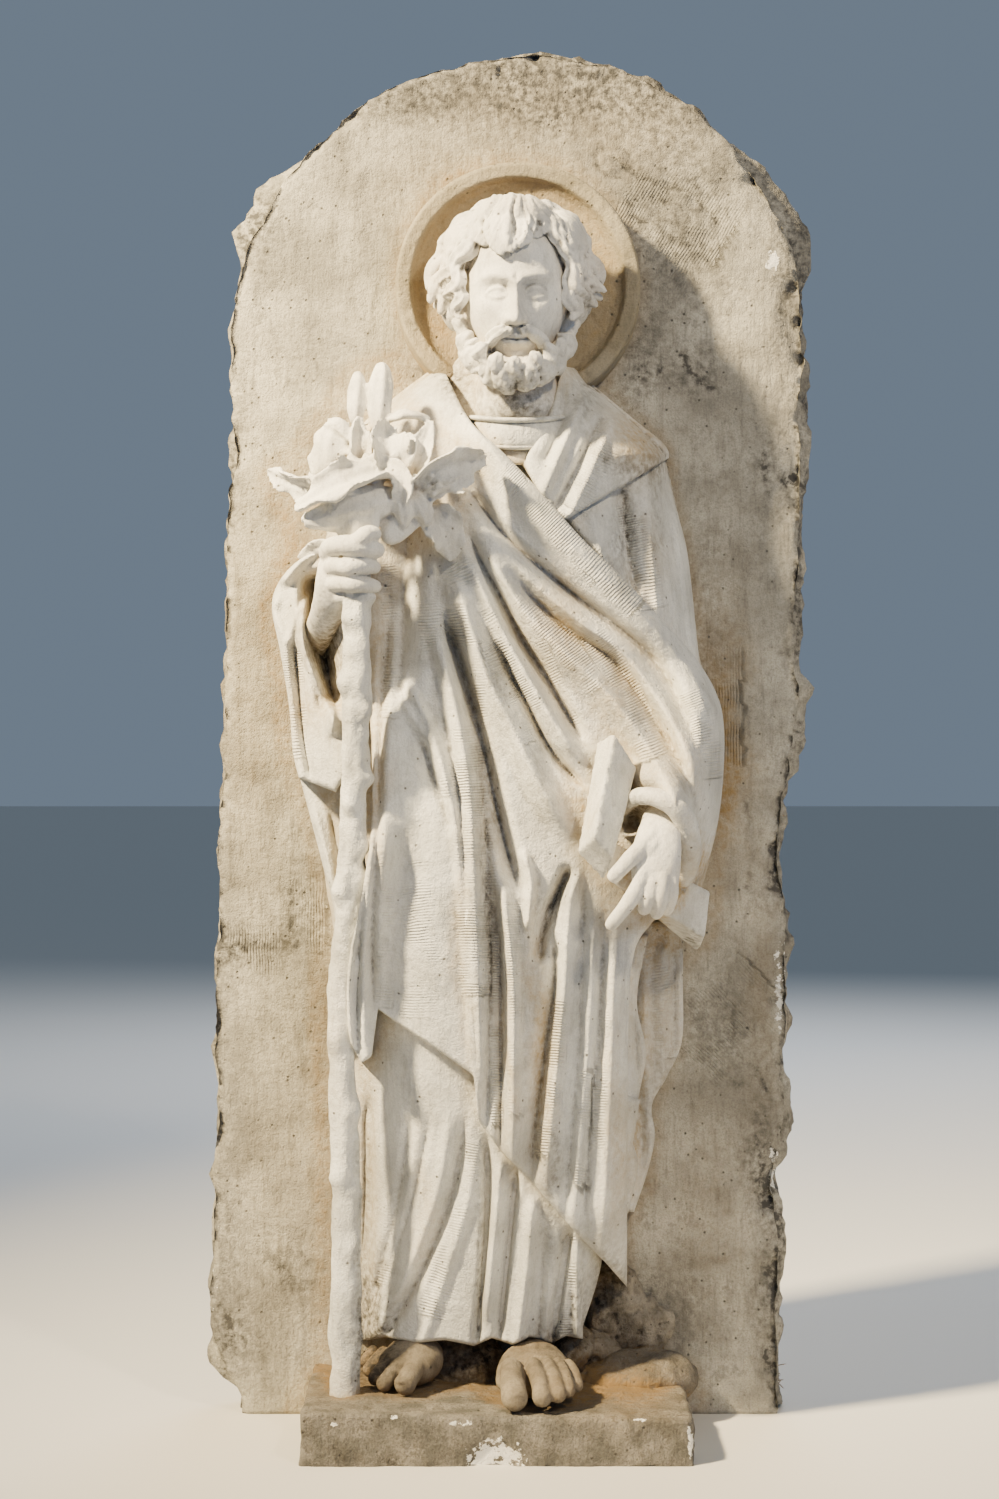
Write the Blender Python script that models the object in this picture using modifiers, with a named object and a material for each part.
"""Plaster relief panel: a standing saint with a lily staff and a carpenter's square.

The panel is one cast. A round-topped slab with a broken rim stands on its own foot ledge
and carries a bearded figure in high relief, in front of a dished halo.

Frame: metres, +Z up, +X to the viewer's right, and the viewer looks along +Y. The origin
is on the underside, on the middle line of the ledge, in the plane of the slab's front.

The figure was laid out as a full-size drawing on the slab's front, as seen from the eye
point named below. A drawn place (x, z) with its depth in front of the slab moves along
that line of sight to its real place, so the drawing and the relief always agree.
"""

import math

import bmesh
import bpy
import numpy as np
from mathutils import Vector, noise

# Slab
PANEL_HEIGHT = 1.358
PANEL_WIDTH = 0.568
PANEL_THICKNESS = 0.070
FACE_LAYER = 0.026
PANEL_LEAN = math.radians(1.35)
PANEL_FOOT_SHIFT = -0.006
RIM_ROUGHNESS = 0.005

# Foot ledge
LEDGE_WIDTH = 0.366
LEDGE_DEPTH = 0.205
LEDGE_HEIGHT = 0.046
LEDGE_FALL = 0.008
SCAR_RADIUS = 0.024
SCAR_DEPTH = 0.005

# Halo
HALO_DIAMETER = 0.241
HALO_RISE = 0.055
HALO_DISH = 0.018
HALO_RIM = 0.017

# Figure
FIGURE_HEIGHT = 1.149
STAFF_DIAMETER = 0.029

# The drawing: its own figure height and ledge, and the eye point it is seen from
DRAWN_HEIGHT = 1.149
DRAWN_LEDGE = 0.046
EYE_DISTANCE = 2.8
EYE_HEIGHT = 0.664

# Mesh
BURIED = -0.020
TRIM = 0.012
VOXEL = 0.0035
FACE_SHARE = 0.0179

# Edges of the dressed body in the drawing, from the hem up, and its depth down the middle
BODY_LEFT = (
    (-0.145, 0.064), (-0.152, 0.214), (-0.159, 0.354), (-0.161, 0.464), (-0.175, 0.544),
    (-0.194, 0.624), (-0.179, 0.714), (-0.172, 0.794),
    (-0.175, 0.869), (-0.167, 0.934), (-0.147, 0.974), (-0.112, 1.009), (-0.067, 1.040),
    (-0.051, 1.059),
)
BODY_RIGHT = (
    (0.108, 0.064), (0.143, 0.164), (0.168, 0.214), (0.186, 0.354), (0.186, 0.464), (0.208, 0.529),
    (0.215, 0.564), (0.225, 0.624),
    (0.225, 0.704), (0.203, 0.754), (0.193, 0.854), (0.168, 0.959), (0.133, 0.994), (0.093, 1.029),
    (0.071, 1.059),
)
UNDER_RIGHT = (
    (0.103, 0.064), (0.117, 0.164), (0.125, 0.314), (0.127, 0.464), (0.193, 0.509),
) + BODY_RIGHT[5:]
BODY_DEPTH = (
    (0.064, 0.118), (0.214, 0.128), (0.354, 0.140), (0.464, 0.148), (0.564, 0.150),
    (0.664, 0.147), (0.764, 0.145), (0.864, 0.140), (0.964, 0.126), (1.034, 0.104), (1.060, 0.085),
)
BODY_EDGE = 0.022
# Forms under the cloth: drawn place, rise, half width, half height
BODY_SWELLS = (
    ((-0.069, 0.524), 0.026, 0.060, 0.120),
    ((-0.072, 0.294), 0.010, 0.050, 0.110),
    ((0.203, 0.669), 0.045, 0.040, 0.080),
    ((0.183, 0.608), 0.056, 0.034, 0.044),
    ((0.137, 0.592), -0.030, 0.014, 0.012),
    ((0.023, 0.889), 0.012, 0.070, 0.070),
    ((0.143, 0.974), 0.018, 0.040, 0.030),
)

# Edges of the cloths in the drawing, each from its top down
MANTLE_LEFT = (
    (-0.069, 1.042), (-0.101, 1.018), (-0.141, 0.982), (-0.159, 0.934), (-0.164, 0.884),
    (-0.155, 0.824), (-0.139, 0.764), (-0.129, 0.714), (-0.125, 0.654),
    (-0.126, 0.584), (-0.131, 0.544), (-0.140, 0.494), (-0.150, 0.449), (-0.156, 0.414),
    (-0.147, 0.374), (-0.135, 0.351),
)
MANTLE_RIGHT = (
    (-0.051, 1.040), (-0.027, 0.994), (0.006, 0.962), (0.048, 0.918), (0.083, 0.878),
    (0.125, 0.837), (0.165, 0.794), (0.203, 0.750), (0.225, 0.702),
    (0.226, 0.634), (0.216, 0.569), (0.195, 0.524), (0.153, 0.489), (0.135, 0.449), (0.131, 0.344),
    (0.130, 0.127),
)
MANTLE_HEM = (
    (-0.135, 0.351), (-0.125, 0.358), (-0.119, 0.405), (-0.097, 0.389), (-0.067, 0.369),
    (-0.039, 0.350), (-0.023, 0.338), (-0.019, 0.294),
    (0.003, 0.264), (0.033, 0.234), (0.063, 0.199), (0.086, 0.174), (0.108, 0.152), (0.130, 0.127),
)
CHEST_LEFT = (
    (0.008, 0.974), (0.043, 0.924), (0.078, 0.884), (0.113, 0.842), (0.153, 0.799), (0.193, 0.742),
)
CHEST_RIGHT = (
    (0.165, 0.970), (0.177, 0.914), (0.189, 0.869), (0.195, 0.824), (0.200, 0.774), (0.205, 0.734),
)
FLAP_LEFT = (
    (0.065, 1.048), (0.055, 1.009), (0.039, 0.974), (0.029, 0.949), (0.048, 0.914), (0.069, 0.894),
)
FLAP_RIGHT = (
    (0.077, 1.046), (0.109, 1.018), (0.143, 0.990), (0.163, 0.974), (0.171, 0.964), (0.172, 0.956),
)
TUNIC_LEFT = ((-0.147, 0.429), (-0.145, 0.314), (-0.139, 0.214), (-0.136, 0.124), (-0.136, 0.073))
TUNIC_RIGHT = ((0.143, 0.314), (0.125, 0.214), (0.103, 0.174), (0.087, 0.124), (0.086, 0.075))
BACK_FALL_LEFT = ((0.109, 0.499), (0.109, 0.414), (0.111, 0.314), (0.115, 0.244), (0.119, 0.204))
BACK_FALL_RIGHT = ((0.186, 0.489), (0.186, 0.414), (0.186, 0.334), (0.183, 0.264), (0.163, 0.202))
ZIGZAG_LEFT = (
    (0.107, 0.484), (0.109, 0.414), (0.113, 0.354), (0.115, 0.304), (0.117, 0.254), (0.121, 0.222),
)
ZIGZAG_RIGHT = (
    (0.151, 0.479), (0.140, 0.404), (0.148, 0.356), (0.160, 0.324), (0.143, 0.254), (0.147, 0.200),
)
SLEEVE_LEFT = (
    (-0.173, 0.870), (-0.201, 0.857), (-0.220, 0.836), (-0.225, 0.808), (-0.217, 0.764),
    (-0.208, 0.709), (-0.204, 0.662), (-0.198, 0.636),
)
SLEEVE_RIGHT = (
    (-0.145, 0.869), (-0.143, 0.849), (-0.143, 0.824), (-0.144, 0.794), (-0.145, 0.734),
    (-0.147, 0.694), (-0.151, 0.644), (-0.161, 0.622),
)
SIDE_LEFT = (
    (-0.197, 0.636), (-0.188, 0.602), (-0.175, 0.552), (-0.164, 0.509), (-0.159, 0.454),
    (-0.160, 0.374),
)
SIDE_RIGHT = (
    (-0.147, 0.636), (-0.145, 0.602), (-0.143, 0.552), (-0.141, 0.509), (-0.141, 0.454),
    (-0.141, 0.374),
)
# Cloths that slope straight back: a drawn x, the depth there and how it changes with x
BACK_FALL_SLOPE = (0.110, 0.062, -0.35)
ZIGZAG_SLOPE = (0.110, 0.098, -0.45)
SIDE_SLOPE = (-0.190, 0.070, 0.50)
SLEEVE_SLOPE = (-0.220, 0.096, 1.00)

# Folds: rise (negative for a furrow), reach to the viewer's left and right, drawn path down
MANTLE_FOLDS = (
    (0.020, 0.034, 0.030, (-0.045, 1.016), (-0.007, 0.967), (0.038, 0.907), (0.091, 0.852),
     (0.146, 0.797), (0.193, 0.742), (0.213, 0.689), (0.215, 0.614)),
    (-0.020, 0.012, 0.009, (-0.035, 0.929), (-0.017, 0.911), (0.003, 0.884), (0.038, 0.852),
     (0.081, 0.817), (0.123, 0.786), (0.158, 0.754), (0.183, 0.711), (0.207, 0.644)),
    (0.012, 0.015, 0.015, (-0.021, 0.902), (0.008, 0.862), (0.043, 0.824), (0.088, 0.789),
     (0.128, 0.759), (0.158, 0.719), (0.185, 0.669), (0.207, 0.604)),
    (-0.020, 0.010, 0.013, (0.001, 0.851), (0.043, 0.809), (0.078, 0.779), (0.113, 0.756),
     (0.148, 0.712), (0.175, 0.667), (0.195, 0.624), (0.207, 0.574)),
    (0.024, 0.026, 0.020, (-0.029, 0.898), (-0.007, 0.854), (0.023, 0.809), (0.063, 0.766),
     (0.108, 0.724), (0.143, 0.679), (0.171, 0.629), (0.187, 0.579), (0.189, 0.534)),
    (-0.030, 0.016, 0.012, (-0.033, 0.892), (-0.015, 0.852), (0.006, 0.814), (0.026, 0.774),
     (0.048, 0.739), (0.069, 0.702), (0.091, 0.662)),
    (0.016, 0.016, 0.014, (-0.039, 0.879), (-0.012, 0.819), (0.013, 0.769), (0.038, 0.724),
     (0.063, 0.684), (0.089, 0.644)),
    (-0.018, 0.010, 0.008, (-0.002, 0.779), (0.015, 0.739), (0.030, 0.711), (0.048, 0.674),
     (0.068, 0.647), (0.093, 0.622)),
    (0.022, 0.020, 0.020, (-0.047, 0.859), (-0.029, 0.794), (-0.009, 0.734), (0.015, 0.687),
     (0.043, 0.629), (0.081, 0.566)),
    (-0.034, 0.017, 0.015, (-0.061, 0.814), (-0.042, 0.766), (-0.027, 0.719), (-0.014, 0.669),
     (-0.002, 0.614), (0.010, 0.564), (0.025, 0.514)),
    (0.016, 0.016, 0.015, (-0.063, 0.824), (-0.052, 0.754), (-0.039, 0.694), (-0.027, 0.614),
     (-0.022, 0.514), (-0.017, 0.414), (-0.013, 0.284)),
    (-0.022, 0.008, 0.009, (-0.021, 0.664), (-0.011, 0.584), (-0.008, 0.514), (-0.007, 0.414),
     (-0.009, 0.334), (-0.011, 0.264)),
    (-0.006, 0.007, 0.007, (-0.057, 0.714), (-0.042, 0.644), (-0.035, 0.574), (-0.032, 0.504),
     (-0.025, 0.414), (-0.017, 0.314)),
    (-0.007, 0.016, 0.012, (-0.076, 0.679), (-0.061, 0.629), (-0.041, 0.576)),
    (0.007, 0.009, 0.009, (-0.101, 0.724), (-0.069, 0.672), (-0.045, 0.614)),
    (0.052, 0.034, 0.062, (-0.111, 0.754), (-0.131, 0.574), (-0.145, 0.454), (-0.147, 0.394),
     (-0.131, 0.274)),
    (0.050, 0.030, 0.052, (-0.121, 0.624), (-0.141, 0.484), (-0.149, 0.414), (-0.135, 0.294)),
    (-0.018, 0.032, 0.026, (-0.085, 0.934), (-0.093, 0.814), (-0.097, 0.694)),
    (-0.014, 0.010, 0.010, (-0.105, 0.814), (-0.113, 0.734), (-0.118, 0.654), (-0.121, 0.564),
     (-0.125, 0.464), (-0.121, 0.374)),
    (0.016, 0.013, 0.012, (0.003, 0.544), (0.015, 0.454), (0.017, 0.364), (0.015, 0.224)),
    (-0.014, 0.009, 0.008, (-0.001, 0.544), (0.003, 0.454), (0.004, 0.354), (0.003, 0.224)),
    (-0.020, 0.010, 0.010, (0.055, 0.484), (0.059, 0.439), (0.050, 0.374), (0.040, 0.304),
     (0.029, 0.204)),
    (-0.028, 0.015, 0.013, (0.077, 0.562), (0.064, 0.529), (0.054, 0.496), (0.052, 0.456),
     (0.059, 0.424)),
    (0.010, 0.012, 0.009, (0.027, 0.574), (0.036, 0.529), (0.039, 0.479)),
    (0.015, 0.011, 0.010, (0.078, 0.564), (0.071, 0.484), (0.065, 0.414), (0.059, 0.334),
     (0.045, 0.194)),
    (-0.009, 0.007, 0.007, (0.086, 0.544), (0.085, 0.454), (0.081, 0.354), (0.073, 0.264),
     (0.065, 0.164)),
    (0.008, 0.009, 0.009, (0.095, 0.524), (0.095, 0.414), (0.088, 0.314), (0.075, 0.154)),
    (-0.011, 0.009, 0.009, (0.106, 0.504), (0.101, 0.374), (0.093, 0.284), (0.085, 0.144)),
    (0.010, 0.011, 0.012, (0.117, 0.494), (0.115, 0.364), (0.111, 0.264), (0.103, 0.114)),
)
CHEST_FOLDS = (
    (-0.018, 0.015, 0.014, (0.125, 0.934), (0.130, 0.874), (0.140, 0.814)),
    (0.008, 0.010, 0.012, (0.148, 0.944), (0.155, 0.864), (0.163, 0.784)),
    (-0.008, 0.009, 0.009, (0.167, 0.954), (0.179, 0.854), (0.193, 0.754)),
    (0.006, 0.012, 0.010, (0.093, 0.914), (0.103, 0.864), (0.111, 0.814)),
)
FLAP_FOLDS = (
    (0.009, 0.010, 0.009, (0.093, 1.029), (0.069, 0.974), (0.041, 0.909)),
    (-0.009, 0.008, 0.008, (0.107, 1.004), (0.083, 0.952), (0.053, 0.894)),
    (0.008, 0.009, 0.010, (0.119, 1.004), (0.097, 0.949), (0.069, 0.889)),
    (-0.007, 0.010, 0.008, (0.069, 1.044), (0.065, 0.994), (0.043, 0.944)),
)
TUNIC_FOLDS = (
    (-0.014, 0.010, 0.008, (-0.031, 0.304), (-0.042, 0.234), (-0.057, 0.192), (-0.079, 0.149),
     (-0.101, 0.114), (-0.137, 0.069)),
    (0.009, 0.012, 0.010, (-0.049, 0.304), (-0.063, 0.224), (-0.085, 0.171), (-0.112, 0.122),
     (-0.142, 0.069)),
    (-0.007, 0.010, 0.010, (-0.085, 0.319), (-0.095, 0.234), (-0.109, 0.169), (-0.133, 0.094)),
    (-0.016, 0.009, 0.008, (-0.011, 0.284), (-0.009, 0.214), (-0.013, 0.139), (-0.023, 0.044)),
    (0.010, 0.010, 0.009, (0.003, 0.264), (0.000, 0.154), (-0.005, 0.044)),
    (-0.009, 0.008, 0.007, (0.017, 0.254), (0.015, 0.174), (0.009, 0.044)),
    (0.009, 0.011, 0.010, (0.031, 0.224), (0.029, 0.144), (0.025, 0.044)),
    (-0.006, 0.009, 0.008, (0.048, 0.194), (0.044, 0.114), (0.041, 0.044)),
    (-0.017, 0.009, 0.008, (0.067, 0.184), (0.065, 0.124), (0.061, 0.039)),
    (0.008, 0.007, 0.006, (0.080, 0.179), (0.081, 0.044)),
    (-0.020, 0.009, 0.010, (-0.129, 0.324), (-0.129, 0.214), (-0.135, 0.069)),
)
SLEEVE_FOLDS = (
    (-0.070, 0.018, 0.024, (-0.181, 0.854), (-0.175, 0.804), (-0.163, 0.749), (-0.155, 0.689)),
    (0.014, 0.010, 0.009, (-0.199, 0.824), (-0.199, 0.764), (-0.191, 0.694), (-0.179, 0.614)),
    (-0.020, 0.009, 0.008, (-0.211, 0.774), (-0.205, 0.714), (-0.195, 0.614)),
)

# Limbs and tools: drawn paths with their depth, then a radius at each point
STAFF_PATH = (
    (-0.139, 0.814, 0.196), (-0.140, 0.714, 0.188), (-0.142, 0.634, 0.178), (-0.145, 0.554, 0.166),
    (-0.150, 0.474, 0.150), (-0.155, 0.364, 0.138), (-0.152, 0.264, 0.132), (-0.151, 0.164, 0.128),
    (-0.152, 0.010, 0.120),
)
STAFF_TAPER = (0.95, 0.90, 0.90, 0.92, 1.00, 1.02, 1.05, 1.08, 1.12)
KNOT_HALF = (0.008, 0.012, 0.011)
STAFF_KNOTS = (
    (-0.152, 0.746, 0.184), (-0.126, 0.679, 0.184), (-0.151, 0.569, 0.168), (-0.153, 0.489, 0.152),
)
# The square's arms, as drawn corners: the upright's top and foot, the level arm's two ends
SQUARE_UPRIGHT = (
    ((0.100, 0.672, 0.158), (0.117, 0.682, 0.182), (0.140, 0.646, 0.172), (0.125, 0.644, 0.120)),
    ((0.080, 0.561, 0.186), (0.097, 0.577, 0.214), (0.117, 0.556, 0.204), (0.107, 0.533, 0.176)),
)
SQUARE_LEVEL = (
    ((0.103, 0.578, 0.196), (0.113, 0.534, 0.190), (0.115, 0.534, 0.120), (0.105, 0.578, 0.120)),
    ((0.213, 0.522, 0.124), (0.208, 0.476, 0.118), (0.201, 0.462, 0.060), (0.209, 0.524, 0.050)),
)
LEFT_FINGERS = (
    (0.0105, (-0.169, 0.858, 0.168), (-0.163, 0.866, 0.202), (-0.143, 0.869, 0.216),
     (-0.123, 0.864, 0.208), (-0.117, 0.859, 0.188)),
    (0.0105, (-0.171, 0.842, 0.166), (-0.163, 0.847, 0.202), (-0.143, 0.848, 0.214),
     (-0.125, 0.845, 0.206), (-0.118, 0.841, 0.186)),
    (0.0100, (-0.169, 0.826, 0.164), (-0.161, 0.828, 0.198), (-0.143, 0.829, 0.208),
     (-0.127, 0.827, 0.200), (-0.119, 0.824, 0.182)),
)
LEFT_PALM = (
    0.021, (-0.161, 0.854, 0.176), (-0.163, 0.814, 0.176), (-0.171, 0.764, 0.150),
    (-0.175, 0.714, 0.110),
)
RIGHT_FINGERS = (
    (0.0115, (0.159, 0.586, 0.192), (0.141, 0.572, 0.212), (0.121, 0.550, 0.222),
     (0.111, 0.535, 0.216)),
    (0.0095, (0.153, 0.558, 0.200), (0.146, 0.534, 0.218), (0.128, 0.504, 0.214),
     (0.112, 0.486, 0.200)),
    (0.0090, (0.156, 0.548, 0.200), (0.154, 0.521, 0.214), (0.148, 0.499, 0.200)),
    (0.0090, (0.168, 0.546, 0.198), (0.167, 0.520, 0.208), (0.161, 0.498, 0.192)),
    (0.0085, (0.179, 0.548, 0.190), (0.179, 0.522, 0.196), (0.174, 0.500, 0.180)),
)
RIGHT_PALM = (
    0.023, (0.167, 0.614, 0.150), (0.164, 0.586, 0.180), (0.163, 0.562, 0.192),
    (0.166, 0.542, 0.190),
)
RIGHT_CUFF = (
    (0.133, 0.613, 0.160), (0.148, 0.620, 0.186), (0.168, 0.616, 0.198), (0.186, 0.602, 0.196),
    (0.195, 0.578, 0.180), (0.193, 0.550, 0.160),
)
LEFT_FOOT = (0.027, (-0.063, 0.078, 0.076), (-0.081, 0.062, 0.100), (-0.103, 0.040, 0.110))
LEFT_FOOT_SIDE = (0.022, (-0.061, 0.074, 0.060), (-0.089, 0.062, 0.068), (-0.117, 0.050, 0.066))
LEFT_TOES = (
    (0.0120, (-0.087, 0.048, 0.112), (-0.094, 0.032, 0.134), (-0.097, 0.024, 0.142)),
    (0.0090, (-0.099, 0.052, 0.096), (-0.107, 0.036, 0.112), (-0.111, 0.028, 0.118)),
    (0.0085, (-0.107, 0.056, 0.080), (-0.115, 0.042, 0.090), (-0.120, 0.033, 0.094)),
    (0.0080, (-0.113, 0.060, 0.066), (-0.123, 0.048, 0.070), (-0.128, 0.039, 0.072)),
    (0.0075, (-0.119, 0.062, 0.050), (-0.128, 0.052, 0.050), (-0.133, 0.044, 0.050)),
)
RIGHT_FOOT = (0.031, (0.027, 0.084, 0.088), (0.030, 0.060, 0.130), (0.036, 0.032, 0.160))
RIGHT_TOES = (
    (0.0130, (0.017, 0.046, 0.158), (0.016, 0.026, 0.184), (0.017, 0.012, 0.196)),
    (0.0098, (0.040, 0.042, 0.160), (0.044, 0.024, 0.184), (0.045, 0.010, 0.194)),
    (0.0090, (0.052, 0.044, 0.150), (0.057, 0.026, 0.172), (0.058, 0.013, 0.182)),
    (0.0084, (0.062, 0.046, 0.136), (0.067, 0.030, 0.150), (0.068, 0.018, 0.158)),
    (0.0078, (0.069, 0.048, 0.118), (0.074, 0.034, 0.128), (0.076, 0.024, 0.134)),
)

# Head: drawn middle and depth, half sizes, and the hair's and beard's lock sizes
HEAD_PLACE = (0.019, 1.124, 0.106)
HEAD_HALF = (0.049, 0.064, 0.082)
HEAD_NOD = math.radians(6)
EYE_HALF = (0.011, 0.009, 0.007)
CHEEK_HALF = (0.016, 0.016, 0.016)
CAP_HALF = (0.053, 0.060, 0.080)
CAP_SHIFT = (0.0, 0.012, 0.006)
NECK_PATH = ((0.019, 1.064, 0.095), (0.020, 1.014, 0.088), (0.021, 0.974, 0.092))
NECK_RADIUS = 0.042
COLLAR = ((0.010, 0.982, 0.046), (0.009, 0.967, 0.042), (0.008, 0.954, 0.036))
HAIR_LOCKS = 21
BEARD_LOCKS = 15
LOCK_RADIUS = 0.0072

# Lilies: drawn middle and depth, direction it opens in, petal length, width, opening
BLOOMS = (
    ((-0.125, 0.909, 0.190), (-0.55, -0.75, -0.25), 0.062, 0.050, 0.75),
    ((-0.145, 0.926, 0.175), (-0.30, -0.45, 0.85), 0.062, 0.046, 0.60),
    ((-0.081, 0.922, 0.180), (0.35, -0.75, 0.45), 0.058, 0.046, 0.95),
    ((-0.109, 0.934, 0.160), (0.10, -0.35, 0.95), 0.056, 0.044, 0.55),
)
BUDS = (
    ((-0.141, 0.996, 0.150), (-0.143, 1.039, 0.128), 0.0085),
    ((-0.119, 0.986, 0.155), (-0.117, 1.048, 0.130), 0.0130),
)
LEAVES = (
    ((-0.175, 0.914, 0.150), (-0.201, 0.922, 0.140), (-0.227, 0.942, 0.120), 0.020),
    ((-0.157, 0.866, 0.160), (-0.179, 0.866, 0.130), (-0.199, 0.858, 0.096), 0.010),
    ((-0.077, 0.914, 0.190), (-0.053, 0.894, 0.180), (-0.051, 0.858, 0.160), 0.020),
)
STALK = (
    0.009, (-0.131, 0.854, 0.196), (-0.127, 0.904, 0.180), (-0.129, 0.974, 0.160),
    (-0.129, 0.999, 0.150),
)

# Rough plaster on the ledge beside the hem: drawn place and depth, half sizes
RUBBLE = (
    ((0.115, 0.114, 0.022), (0.026, 0.040, 0.036)), ((0.139, 0.088, 0.012), (0.030, 0.030, 0.034)),
    ((0.103, 0.076, 0.050), (0.022, 0.026, 0.024)), ((-0.057, 0.054, 0.052), (0.030, 0.030, 0.022)),
    ((-0.023, 0.048, 0.048), (0.026, 0.030, 0.022)),
    ((0.125, 0.046, 0.008), (0.076, 0.115, 0.028)),
)

# Broken places of the rim: side, height, half length, how far in
BITES = (
    (-1, 0.000, 0.060, 0.034), (-1, 0.300, 0.040, 0.006), (-1, 0.960, 0.030, 0.008),
    (1, 0.570, 0.060, 0.014), (1, 0.230, 0.050, 0.009), (1, 0.720, 0.025, -0.004),
)
# Places where the rough back stands out past the face layer: side, height, half length, how far
OUTCROPS = (
    (-1, 1.200, 0.040, 0.020), (1, 1.195, 0.055, 0.020), (-1, 0.965, 0.022, 0.008),
    (-1, 0.045, 0.022, 0.016),
)

SKY = (0.0, 0.0, 1.0)


def spline(points, per_span=6):
    """Points on a smooth (Catmull-Rom) curve through the given ones."""
    knots = np.asarray(points, float)
    padded = np.vstack([2 * knots[0] - knots[1], knots, 2 * knots[-1] - knots[-2]])
    spans = len(knots) - 1
    t = np.linspace(0, spans, spans * per_span + 1)
    span = np.minimum(t.astype(int), spans - 1)
    f = (t - span)[:, None]
    p0, p1, p2, p3 = (padded[span + k] for k in range(4))
    return 0.5 * (
        2 * p1 + (p2 - p0) * f + (2 * p0 - 5 * p1 + 4 * p2 - p3) * f**2
        + (3 * p1 - p0 - 3 * p2 + p3) * f**3
    )


def resample(points, count):
    """The curve through the points, as `count` points evenly spaced by its parameter."""
    line = spline(points, 12)
    t = np.linspace(0, len(line) - 1, count)
    return np.stack([np.interp(t, np.arange(len(line)), column) for column in line.T], -1)


def along_polyline(points, count):
    """`count` points evenly spaced by length on the straight-sided line, corners kept."""
    line = np.asarray(points, float)
    length = np.r_[0, np.cumsum(np.linalg.norm(np.diff(line, axis=0), axis=1))]
    t = np.linspace(0, length[-1], count)
    return np.stack([np.interp(t, length, column) for column in line.T], -1)


def carry(x, z, depth):
    """Real places of drawn places x, z that lie `depth` in front of the slab."""
    shrink = 1 - depth / EYE_DISTANCE
    scale = FIGURE_HEIGHT / DRAWN_HEIGHT
    height = EYE_HEIGHT + (z - EYE_HEIGHT) * shrink - DRAWN_LEDGE
    return np.stack([x * shrink * scale, -depth * scale, LEDGE_HEIGHT + height * scale], -1)


def carried(points):
    """Real places of drawn points given as (x, z, depth)."""
    points = np.asarray(points, float)
    return carry(points[..., 0], points[..., 1], points[..., 2])


def body_depth(x, z):
    """Depth of the dressed body: a dome between its two drawn edges, with its swells."""
    left = np.interp(z, *np.array(BODY_LEFT)[:, ::-1].T)
    right = np.interp(z, *np.array(BODY_RIGHT)[:, ::-1].T)
    peak = np.interp(z, *np.array(BODY_DEPTH).T)
    offset = np.abs(2 * (x - left) / (right - left) - 1).clip(0, 1)
    depth = BODY_EDGE + (peak - BODY_EDGE) * np.sqrt(1 - offset**2.6)
    for (mid_x, mid_z), rise, half_x, half_z in BODY_SWELLS:
        depth = depth + rise * np.exp(-(((x - mid_x) / half_x) ** 2) - ((z - mid_z) / half_z) ** 2)
    return depth


def fold_rise(x, z, folds):
    """Height that the folds add at drawn places.

    Each fold is a smooth path. Its rise falls off with the distance to the path, over its
    own reach on either side, broad for a ridge and tighter for a furrow, and
    fades in and out near the path's ends.
    """
    places = np.stack([x.ravel(), z.ravel()], -1)
    total = np.zeros(len(places))
    for rise, reach_left, reach_right, *path in folds:
        line = spline(path, 5)
        reach = max(reach_left, reach_right)
        near = np.all((places > line.min(0) - reach) & (places < line.max(0) + reach), axis=1)
        if not near.any():
            continue
        start, edge = line[:-1], np.diff(line, axis=0)
        gap = places[near][:, None, :] - start
        share = ((gap * edge).sum(-1) / (edge**2).sum(-1)).clip(0, 1)
        away = gap - share[..., None] * edge
        distance = np.linalg.norm(away, axis=-1)
        closest = distance.argmin(1)
        row = np.arange(len(closest))
        side = edge[closest, 0] * away[row, closest, 1] - edge[closest, 1] * away[row, closest, 0]
        t = (distance[row, closest] / np.where(side > 0, reach_right, reach_left)).clip(0, 1)
        form = (1 - t * t) ** 2 if rise > 0 else (1 - t) ** 2 * (1 + 2 * t)
        travel = (closest + share[row, closest]) / len(edge)
        fade = (np.minimum(travel, 1 - travel) / 0.16).clip(0, 1)
        total[near] += rise * form * fade * fade * (3 - 2 * fade)
    return total.reshape(x.shape)


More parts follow.
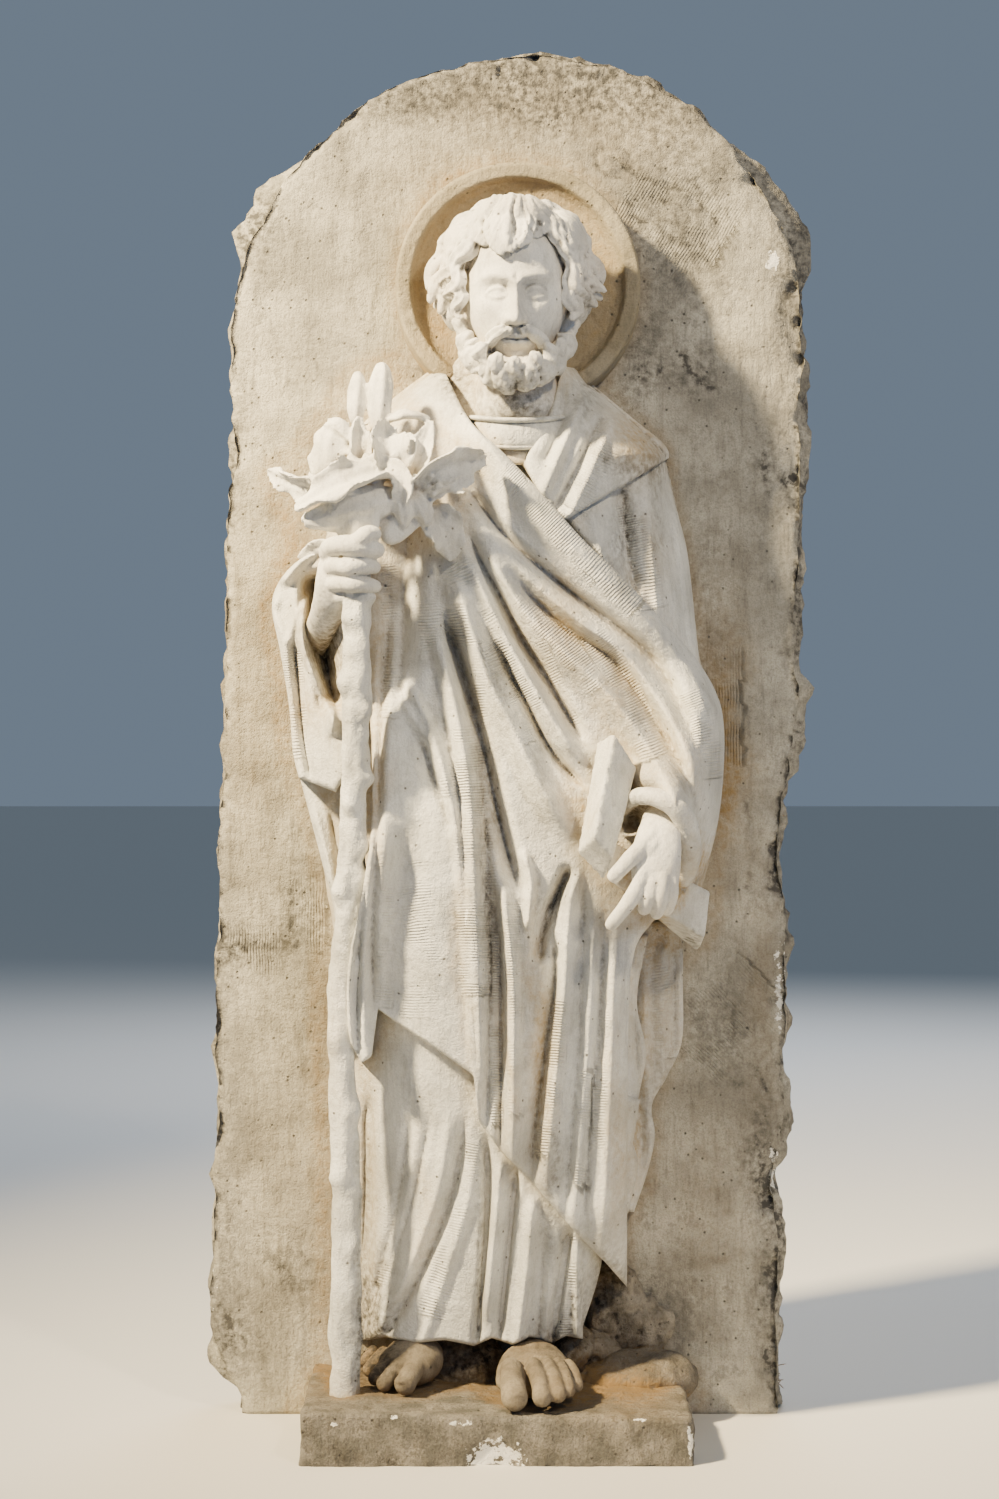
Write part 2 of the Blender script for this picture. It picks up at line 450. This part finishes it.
class Clay:
    """Collects closed shells, each given as rings of points, into one mesh."""

    def __init__(self):
        self.points = []
        self.faces = []
        self.count = 0

    def skin(self, rings):
        """Closes rings (count, around, 3) into a shell, with a cap at each end."""
        rows, around = rings.shape[:2]
        base = self.count + np.arange(rows * around).reshape(rows, around)
        turned = np.roll(base, -1, axis=1)
        quads = np.stack([base[:-1], turned[:-1], turned[1:], base[1:]], -1).reshape(-1, 4)
        self.faces += quads.tolist()
        self.faces += [base[0, ::-1].tolist(), base[-1].tolist()]
        self.points.append(rings.reshape(-1, 3))
        self.count += rows * around

    def cloth(self, left, right, depth, hem=None, lip=0.007, rows=60, columns=40, tops=True):
        """A cloth between two drawn edges, its front at depth(x, z) and its back buried.

        A row is a straight line from the left edge to the right one. The last rows bend to
        the hem where one is given. The front rounds off over `lip` at its free edges.
        """
        west, east = resample(left, rows), resample(right, rows)
        u = np.linspace(0, 1, columns)[None, :, None]
        drawn = west[:, None] * (1 - u) + east[:, None] * u
        v = np.linspace(0, 1, rows)[:, None, None]
        if hem is not None:
            bend = along_polyline(hem, columns)[None] - drawn[-1:]
            drawn = drawn + bend * ((v - 0.72) / 0.28).clip(0, 1) ** 2
        x, z = drawn[..., 0], drawn[..., 1]
        width = np.linalg.norm(east - west, axis=1)[:, None]
        height = np.linalg.norm(np.diff(drawn, axis=0), axis=-1).sum(0)
        inset = np.minimum(u[..., 0], 1 - u[..., 0]) * width
        down = (1 - v[..., 0]) * height[None]
        inset = np.minimum(inset, np.minimum(down, v[..., 0] * height[None]) if tops else down)
        drop = lip * (1 - np.sqrt(1 - (1 - (inset / lip).clip(0, 1)) ** 2))
        front = carry(x, z, depth(x, z) - drop)
        back = carry(x, z, np.full_like(x, BURIED))
        self.skin(np.concatenate([front, back[:, ::-1]], axis=1))

    def tube(self, path, radius, flat=1.0, facing=(0.01, -1.0, 0.01), sides=12, per_span=5):
        """A tube along a path of real points, its ends rounded, flattened towards `facing`."""
        line = spline(path, per_span)
        count = len(line)
        reach = np.linspace(0, 1, count)
        radii = np.interp(reach, np.linspace(0, 1, np.size(radius)), np.atleast_1d(radius))
        length = np.linalg.norm(np.diff(line, axis=0), axis=1).sum()
        ends = np.minimum(reach, 1 - reach) * length / radii
        radii = radii * np.sqrt(1 - (1 - ends.clip(0.03, 1)) ** 2)
        tangent = np.gradient(line, axis=0)
        tangent /= np.linalg.norm(tangent, axis=1, keepdims=True)
        across = np.cross(tangent, facing)
        across /= np.linalg.norm(across, axis=1, keepdims=True)
        normal = np.cross(across, tangent)
        angle = np.linspace(0, 2 * math.pi, sides, endpoint=False)
        ring = (np.cos(angle)[None, :, None] * across[:, None]
                + flat * np.sin(angle)[None, :, None] * normal[:, None])
        self.skin(line[:, None] + radii[:, None, None] * ring)

    def blob(self, middle, half, turn=0.0, detail=14):
        """An ellipsoid with the given half sizes, turned about the X axis."""
        rise = np.linspace(-0.5, 0.5, detail)[:, None] * math.pi * 0.999
        spin = np.linspace(0, 2 * math.pi, 2 * detail, endpoint=False)[None]
        unit = np.stack([np.cos(rise) * np.cos(spin), np.cos(rise) * np.sin(spin),
                         np.sin(rise) + 0 * spin], -1) * np.asarray(half)
        y = unit[..., 1] * math.cos(turn) - unit[..., 2] * math.sin(turn)
        z = unit[..., 1] * math.sin(turn) + unit[..., 2] * math.cos(turn)
        self.skin(np.stack([unit[..., 0], y, z], -1) + np.asarray(middle))

    def prism(self, outline, front, back):
        """A plate with the given outline (x, z), from one Y to another."""
        rings = [np.insert(outline, 1, y, axis=1) for y in (front, back)]
        self.skin(np.stack(rings))

    def finish(self, name):
        """The collected shells as one mesh."""
        mesh = bpy.data.meshes.new(name)
        mesh.from_pydata(np.concatenate(self.points).tolist(), [], self.faces)
        return mesh


def slab_rim(spread, outcrops=(), count=150):
    """Outline of the slab (x, z): upright sides and a round top, leaning, its rim broken."""
    radius = PANEL_WIDTH / 2
    spring = PANEL_HEIGHT - radius
    side = spring + TRIM
    arc = math.pi * radius
    travel = np.linspace(0, 2 * side + arc, count)
    angle = ((travel - side) / radius).clip(0, math.pi)
    out_x, out_z = -np.cos(angle), np.sin(angle)
    x = radius * out_x
    upright = np.minimum(travel, 2 * side + arc - travel) - TRIM
    z = np.where((travel < side) | (travel > side + arc), upright, spring + radius * out_z)
    push = np.array([noise.noise(Vector((a * 28, b * 28, spread * 90))) for a, b in zip(x, z)])
    push = spread + RIM_ROUGHNESS * push
    for which, height, half, inward in BITES:
        push -= inward * np.exp(-(((z - height) / half) ** 2)) * (np.sign(x) == which)
    for which, height, half, outward in outcrops:
        push += outward * np.exp(-(((z - height) / half) ** 4)) * (np.sign(x) == which)
    x, z = x + out_x * push, z + out_z * push
    return np.stack([x + PANEL_FOOT_SHIFT + math.tan(PANEL_LEAN) * z, z], -1)


def add_slab(clay):
    """The slab in two layers: the face stops a little short of the rougher back."""
    clay.prism(slab_rim(-0.002), 0.0, FACE_LAYER + TRIM)
    clay.prism(slab_rim(0.003, OUTCROPS), FACE_LAYER, PANEL_THICKNESS + TRIM)


def add_ledge(clay):
    """The ledge under the figure, a block whose top falls a little to the viewer's right."""
    half = LEDGE_WIDTH / 2
    left, right = LEDGE_HEIGHT + LEDGE_FALL / 2, LEDGE_HEIGHT - LEDGE_FALL / 2
    outline = np.array([(-half, -TRIM), (half, -TRIM), (half - 0.002, right), (-half + 0.003, left)])
    front = np.insert(outline, 1, -LEDGE_DEPTH, axis=1)
    back = np.insert(outline, 1, FACE_LAYER, axis=1)
    clay.skin(np.stack([front, back]))


def add_halo(clay):
    """The dished halo: a turned plate whose rim stands round a shallow hollow."""
    radius = HALO_DIAMETER / 2
    floor = HALO_RISE - HALO_DISH
    profile = np.array([
        (0.001, floor), (radius - HALO_RIM - 0.012, floor + 0.001), (radius - HALO_RIM, floor + 0.008),
        (radius - HALO_RIM + 0.004, HALO_RISE - 0.002), (radius - HALO_RIM / 2, HALO_RISE),
        (radius - 0.003, HALO_RISE - 0.002), (radius, HALO_RISE - 0.008), (radius + 0.002, BURIED),
    ])
    middle = carried((0.021, 1.129, 0.050))
    spin = np.linspace(0, 2 * math.pi, 72, endpoint=False)[None]
    reach, rise = profile[:, :1], profile[:, 1:]
    rings = np.stack([reach * np.cos(spin), -rise + 0 * spin, reach * np.sin(spin)], -1)
    clay.skin(rings + middle * (1, 0, 1))


def add_cloths(clay):
    """The dressed body and the cloths that lie over each other on it."""
    def over(offset, folds=()):
        return lambda x, z: body_depth(x, z) + offset + fold_rise(x, z, folds)

    def sloping(at, depth, slope, folds=()):
        return lambda x, z: depth + slope * (x - at) + fold_rise(x, z, folds)

    clay.cloth(BODY_LEFT[::-1], UNDER_RIGHT[::-1], over(-0.026), lip=0.012)
    clay.cloth(TUNIC_LEFT, TUNIC_RIGHT, over(-0.016, TUNIC_FOLDS), rows=100, columns=100)
    clay.cloth(BACK_FALL_LEFT, BACK_FALL_RIGHT, sloping(*BACK_FALL_SLOPE), columns=20)
    clay.cloth(ZIGZAG_LEFT, ZIGZAG_RIGHT, sloping(*ZIGZAG_SLOPE), columns=16)
    clay.cloth(CHEST_LEFT, CHEST_RIGHT, over(-0.006, CHEST_FOLDS), lip=0.010)
    clay.cloth(FLAP_LEFT, FLAP_RIGHT, over(0.010, FLAP_FOLDS), lip=0.006)
    clay.cloth(MANTLE_LEFT, MANTLE_RIGHT, over(0.004, MANTLE_FOLDS), MANTLE_HEM, rows=240, columns=140)
    clay.cloth(SIDE_LEFT, SIDE_RIGHT, sloping(*SIDE_SLOPE), columns=16)
    clay.cloth(SLEEVE_LEFT, SLEEVE_RIGHT, sloping(*SLEEVE_SLOPE, SLEEVE_FOLDS), lip=0.012)


def add_staff(clay):
    """The staff with its knots, and the square held in the other hand."""
    clay.tube(carried(STAFF_PATH), STAFF_DIAMETER / 2 * np.array(STAFF_TAPER))
    for knot in STAFF_KNOTS:
        clay.blob(carried(knot), KNOT_HALF)


def add_square(clay):
    """The carpenter's square: its upright arm, and its level arm that runs back behind the hand."""
    for ends in (SQUARE_UPRIGHT, SQUARE_LEVEL):
        clay.skin(carried(ends))


def add_limbs(clay):
    """Both hands, the right cuff and both feet."""
    for radius, *path in LEFT_FINGERS + RIGHT_FINGERS:
        clay.tube(carried(path), (radius, radius, radius * 0.82))
    for radius, *path in LEFT_TOES + RIGHT_TOES:
        clay.tube(carried(path), (radius, radius * 0.9, radius), facing=SKY)
    for radius, *path in (LEFT_PALM, RIGHT_PALM):
        clay.tube(carried(path), (radius * 0.9, radius, radius * 0.9), flat=0.8)
    for radius, *path in (LEFT_FOOT, LEFT_FOOT_SIDE, RIGHT_FOOT):
        clay.tube(carried(path), (radius * 0.75, radius, radius * 0.85), flat=0.60, facing=SKY)
    clay.tube(carried(RIGHT_CUFF), (0.012, 0.016, 0.018, 0.012))


def on_head(azimuth, rise, lift=0.0):
    """Place on the skull, by the angles from its front and from its widest level."""
    half = np.array(HEAD_HALF) + lift
    level = math.cos(rise)
    x, y, z = half * (math.sin(azimuth) * level, -math.cos(azimuth) * level, math.sin(rise))
    turned = np.array([x, y * math.cos(HEAD_NOD) - z * math.sin(HEAD_NOD),
                       y * math.sin(HEAD_NOD) + z * math.cos(HEAD_NOD)])
    return carried(HEAD_PLACE) + turned


def add_head(clay):
    """Head, neck and collar, with plain features, locks of hair and a short full beard."""
    clay.blob(carried(HEAD_PLACE), HEAD_HALF, HEAD_NOD)
    clay.tube(carried(NECK_PATH), (NECK_RADIUS, NECK_RADIUS, NECK_RADIUS * 1.1))
    for thick, level, radius in COLLAR:
        middle = carried((0.021, level, 0.088))
        spin = np.linspace(-0.1 * math.pi, 1.1 * math.pi, 9)
        ring = np.stack([radius * np.cos(spin), -radius * np.sin(spin), 0.006 * np.cos(spin) ** 2], -1)
        clay.tube(middle + ring, thick)
    clay.tube([on_head(0, math.radians(24), 0.000), on_head(0, math.radians(6), 0.006),
               on_head(0, math.radians(-9), 0.014)], (0.007, 0.008, 0.012))
    for side in (-1, 1):
        clay.tube([on_head(side * math.radians(8), math.radians(21), 0.001),
                   on_head(side * math.radians(26), math.radians(24), 0.002),
                   on_head(side * math.radians(48), math.radians(18), 0.000)], 0.007)
        clay.blob(on_head(side * math.radians(27), math.radians(11), -0.006), EYE_HALF)
        clay.blob(on_head(side * math.radians(36), math.radians(-10), -0.010), CHEEK_HALF)
        clay.tube([on_head(side * math.radians(3), math.radians(-22), 0.010),
                   on_head(side * math.radians(18), math.radians(-26), 0.011),
                   on_head(side * math.radians(30), math.radians(-38), 0.008)], (0.009, 0.009, 0.006))
        for turn, low, flare in ((94, 22, 0.022), (84, 6, 0.036), (66, 12, 0.020)):
            clay.tube([on_head(side * math.radians(turn - 12), math.radians(62), 0.008),
                       on_head(side * math.radians(turn), math.radians(40), 0.012),
                       on_head(side * math.radians(turn + 4), math.radians(low + 14), 0.016),
                       on_head(side * math.radians(turn), math.radians(low - 10), flare)],
                      (0.012, 0.014, 0.014, 0.007))
    clay.blob(carried(HEAD_PLACE) + CAP_SHIFT, CAP_HALF, HEAD_NOD)
    for k in range(HAIR_LOCKS):
        share = 2 * k / (HAIR_LOCKS - 1) - 1
        turn = share * math.radians(112)
        ends = math.radians(44 - 54 * abs(share) ** 1.7 + 6 * math.cos(9 * share))
        proud = 0.008 + 0.005 * (k % 2)
        path = [on_head(turn * 0.4, math.radians(86), proud),
                on_head(turn * 0.85, math.radians(68), proud + 0.003),
                on_head(turn * 0.97, (math.radians(64) + ends) / 2, proud + 0.003),
                on_head(turn * 1.05 + 0.06, ends, proud + 0.012 * abs(share))]
        clay.tube(path, (LOCK_RADIUS * 0.9, LOCK_RADIUS * 1.3, LOCK_RADIUS * 1.1, LOCK_RADIUS * 0.4))
    for row, (drop, reach) in enumerate(((0.0, 1.0), (0.34, 0.70))):
        locks = BEARD_LOCKS - 5 * row
        for k in range(locks):
            share = 2 * k / (locks - 1) - 1
            turn = share * math.radians(80) * reach
            top = math.radians(-28 + 26 * abs(share)) - drop
            proud = 0.004 + 0.004 * (k % 2)
            path = [on_head(turn, top, proud - 0.004), on_head(turn * 0.96, top - 0.26, proud + 0.006),
                    on_head(turn * 0.86, top - 0.50, proud + 0.006)]
            clay.tube(path, (LOCK_RADIUS * 0.9, LOCK_RADIUS * 1.1, LOCK_RADIUS * 0.6))


def petal(base, axis, radial, length, width, opening, thickness):
    """Rings of a petal that leaves `axis` for `radial` as it opens, cupped and pointed."""
    s = np.linspace(0.02, 1, 12)[:, None, None]
    angle = opening * s * 1.25
    run = length * s * (np.cos(angle) * axis + np.sin(angle) * radial)
    side = np.cross(axis, radial)
    half = 0.5 * width * np.sin(math.pi * (0.10 + 0.86 * s)) ** 0.8
    t = np.linspace(-1, 1, 9)[None, :, None]
    out = np.cos(angle) * radial - np.sin(angle) * axis
    middle = np.asarray(base) + run + side * half * t - out * half * 0.35 * t**2
    ring = np.concatenate([middle + out * thickness / 2, (middle - out * thickness / 2)[:, ::-1]], axis=1)
    return ring


def add_lilies(clay):
    """The flowering head of the staff: open lilies, buds, leaves and the stalk."""
    for base, toward, length, width, opening in BLOOMS:
        axis = np.array(toward) / np.linalg.norm(toward)
        first = np.cross(axis, SKY)
        first /= np.linalg.norm(first)
        second = np.cross(axis, first)
        for k in range(6):
            angle = k * math.pi / 3
            radial = math.cos(angle) * first + math.sin(angle) * second
            clay.skin(petal(carried(base), axis, radial, length, width, opening, 0.008))
        clay.blob(carried(base), (0.014, 0.014, 0.014))
    for low, high, radius in BUDS:
        ends = carried((low, high))
        clay.tube([ends[0], ends.mean(0), ends[1]], (radius * 0.8, radius, radius * 0.5))
    for *path, half in LEAVES:
        clay.tube(carried(path), (half * 0.7, half, half * 0.4), flat=0.4)
    radius, *path = STALK
    clay.tube(carried(path), radius)


def add_rubble(clay):
    """Rough plaster beside the hem and between the feet, and the ground's rise at the right."""
    for place, half in RUBBLE:
        clay.blob(carried(place), half)


def largest_body(mesh):
    """Removes every piece of the mesh but the one with most faces."""
    shape = bmesh.new()
    shape.from_mesh(mesh)
    groups, left = [], set(shape.faces)
    while left:
        queue = [left.pop()]
        group = list(queue)
        while queue:
            for edge in queue.pop().edges:
                for face in edge.link_faces:
                    if face in left:
                        left.remove(face)
                        queue.append(face)
                        group.append(face)
        groups.append(group)
    groups.sort(key=len)
    stray = [face for group in groups[:-1] for face in group]
    bmesh.ops.delete(shape, geom=stray, context="FACES")
    bmesh.ops.delete(shape, geom=[v for v in shape.verts if not v.link_faces], context="VERTS")
    shape.to_mesh(mesh)
    shape.free()


def plaster():
    """Off-white cast plaster, dull."""
    material = bpy.data.materials.new("cast_plaster")
    material.use_nodes = True
    shader = material.node_tree.nodes["Principled BSDF"]
    shader.inputs["Base Color"].default_value = (0.62, 0.58, 0.50, 1)
    shader.inputs["Roughness"].default_value = 0.85
    shader.inputs["Metallic"].default_value = 0.0
    return material


def cutter(name, mesh, collection):
    """An object that only shapes others, left out of the model."""
    tool = bpy.data.objects.new(name, mesh)
    tool.hide_render = True
    tool.display_type = "WIRE"
    collection.objects.link(tool)
    return tool


def trimming_box():
    """A box whose lowest and rear faces trim the cast flat."""
    low = Vector((-1, -1, 0))
    high = Vector((1, PANEL_THICKNESS, PANEL_HEIGHT + 1))
    shape = bmesh.new()
    bmesh.ops.create_cube(shape, size=1)
    for vertex in shape.verts:
        vertex.co = Vector(low[k] if vertex.co[k] < 0 else high[k] for k in range(3))
    mesh = bpy.data.meshes.new("trim")
    shape.to_mesh(mesh)
    shape.free()
    return mesh


def scar_ball():
    """A ball that leaves a shallow round scar on the ledge's front, cut off by its foot."""
    radius = (SCAR_RADIUS**2 + SCAR_DEPTH**2) / (2 * SCAR_DEPTH)
    shape = bmesh.new()
    bmesh.ops.create_uvsphere(shape, u_segments=72, v_segments=48, radius=radius)
    bmesh.ops.translate(shape, verts=shape.verts, vec=(0, -LEDGE_DEPTH - radius + SCAR_DEPTH, 0.002))
    mesh = bpy.data.meshes.new("scar")
    shape.to_mesh(mesh)
    shape.free()
    return mesh


def build():
    """Models the cast and leaves it in the scene."""
    for item in list(bpy.data.objects):
        bpy.data.objects.remove(item)
    parts = bpy.data.collections.new("plaster_relief_panel")
    tools = bpy.data.collections.new("cutters")
    for collection in (parts, tools):
        bpy.context.scene.collection.children.link(collection)

    clay = Clay()
    for add in (add_slab, add_ledge, add_halo, add_cloths, add_staff, add_square, add_limbs,
                add_head, add_lilies, add_rubble):
        add(clay)
    rough = bpy.data.objects.new("rough", clay.finish("rough"))
    parts.objects.link(rough)
    fuse = rough.modifiers.new("fuse", "REMESH")
    fuse.mode = "VOXEL"
    fuse.voxel_size = VOXEL
    smooth = rough.modifiers.new("settle", "SMOOTH")
    smooth.factor = 0.5
    smooth.iterations = 2
    thin = rough.modifiers.new("thin", "DECIMATE")
    thin.ratio = FACE_SHARE
    thin.use_collapse_triangulate = True
    graph = bpy.context.evaluated_depsgraph_get()
    mesh = bpy.data.meshes.new_from_object(rough.evaluated_get(graph))
    bpy.data.objects.remove(rough)
    largest_body(mesh)
    mesh.name = "relief_panel"
    mesh.materials.clear()
    mesh.materials.append(plaster())
    panel = bpy.data.objects.new("relief_panel", mesh)
    parts.objects.link(panel)
    for name, shape, operation in (("trim", trimming_box(), "INTERSECT"),
                                   ("scar", scar_ball(), "DIFFERENCE")):
        cut = panel.modifiers.new(name, "BOOLEAN")
        cut.operation = operation
        cut.object = cutter(name, shape, tools)
        cut.solver = "EXACT"


build()
